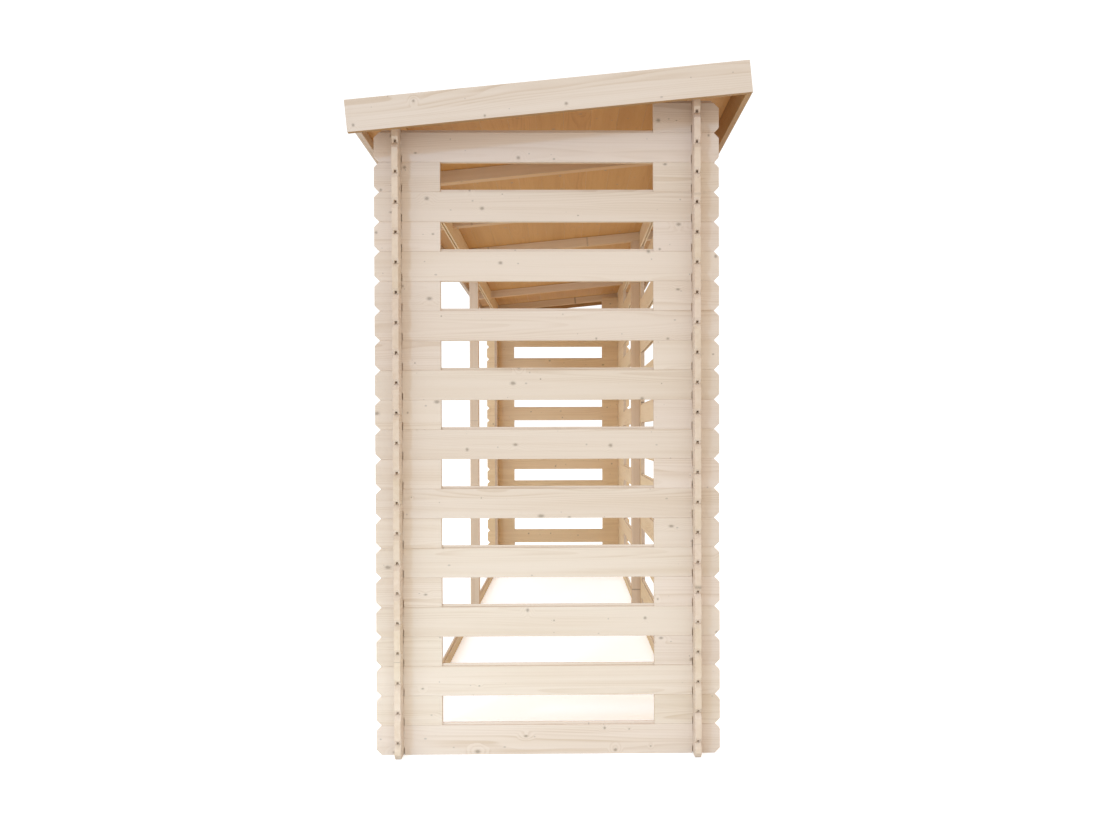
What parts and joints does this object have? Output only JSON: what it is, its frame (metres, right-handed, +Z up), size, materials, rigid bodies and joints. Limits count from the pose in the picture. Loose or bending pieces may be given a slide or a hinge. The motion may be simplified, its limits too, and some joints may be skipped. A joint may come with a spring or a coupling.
{
  "type": "log store",
  "caption": "Long open-fronted firewood store with slatted end and rear walls of interlocking tongue and groove boards and a low single-pitch board roof.",
  "frame": {"origin": "on the ground, under the middle of the roof", "axes": "+X along the store to the right as seen from its open front, +Y to the rear, +Z up"},
  "size_m": [5.056, 1.1932, 2.0677],
  "materials": {
    "wall_boards": "planed spruce, untreated",
    "posts_and_rafters": "planed spruce, untreated",
    "roof_boards": "planed spruce, untreated",
    "fascias": "planed spruce, untreated"
  },
  "bodies": {
    "root": {"right_end_boards": "wall_boards", "right_end_front_stubs": "wall_boards", "right_end_rear_stubs": "wall_boards", "left_end_boards": "wall_boards", "left_end_front_stubs": "wall_boards", "left_end_rear_stubs": "wall_boards", "front_sill": "wall_boards", "front_header": "wall_boards", "front_right_stubs_odd": "wall_boards", "front_right_stubs_even": "wall_boards", "front_left_stubs_odd": "wall_boards", "front_left_stubs_even": "wall_boards", "rear_sill": "wall_boards", "rear_right_boards": "wall_boards", "rear_left_boards": "wall_boards", "rear_right_stubs": "wall_boards", "rear_left_stubs": "wall_boards", "rear_middle_spacers": "wall_boards", "front_post": "posts_and_rafters", "rear_post": "posts_and_rafters", "rafter_1": "posts_and_rafters", "rafter_2": "posts_and_rafters", "rafter_3": "posts_and_rafters", "rafter_4": "posts_and_rafters", "rafter_5": "posts_and_rafters", "rafter_6": "posts_and_rafters", "rafter_7": "posts_and_rafters", "roof_boards_right": "roof_boards", "roof_boards_left": "roof_boards", "side_fascia_right": "fascias", "side_fascia_left": "fascias", "rear_fascia": "fascias", "front_eave_strip": "fascias"}
  },
  "joints": []
}
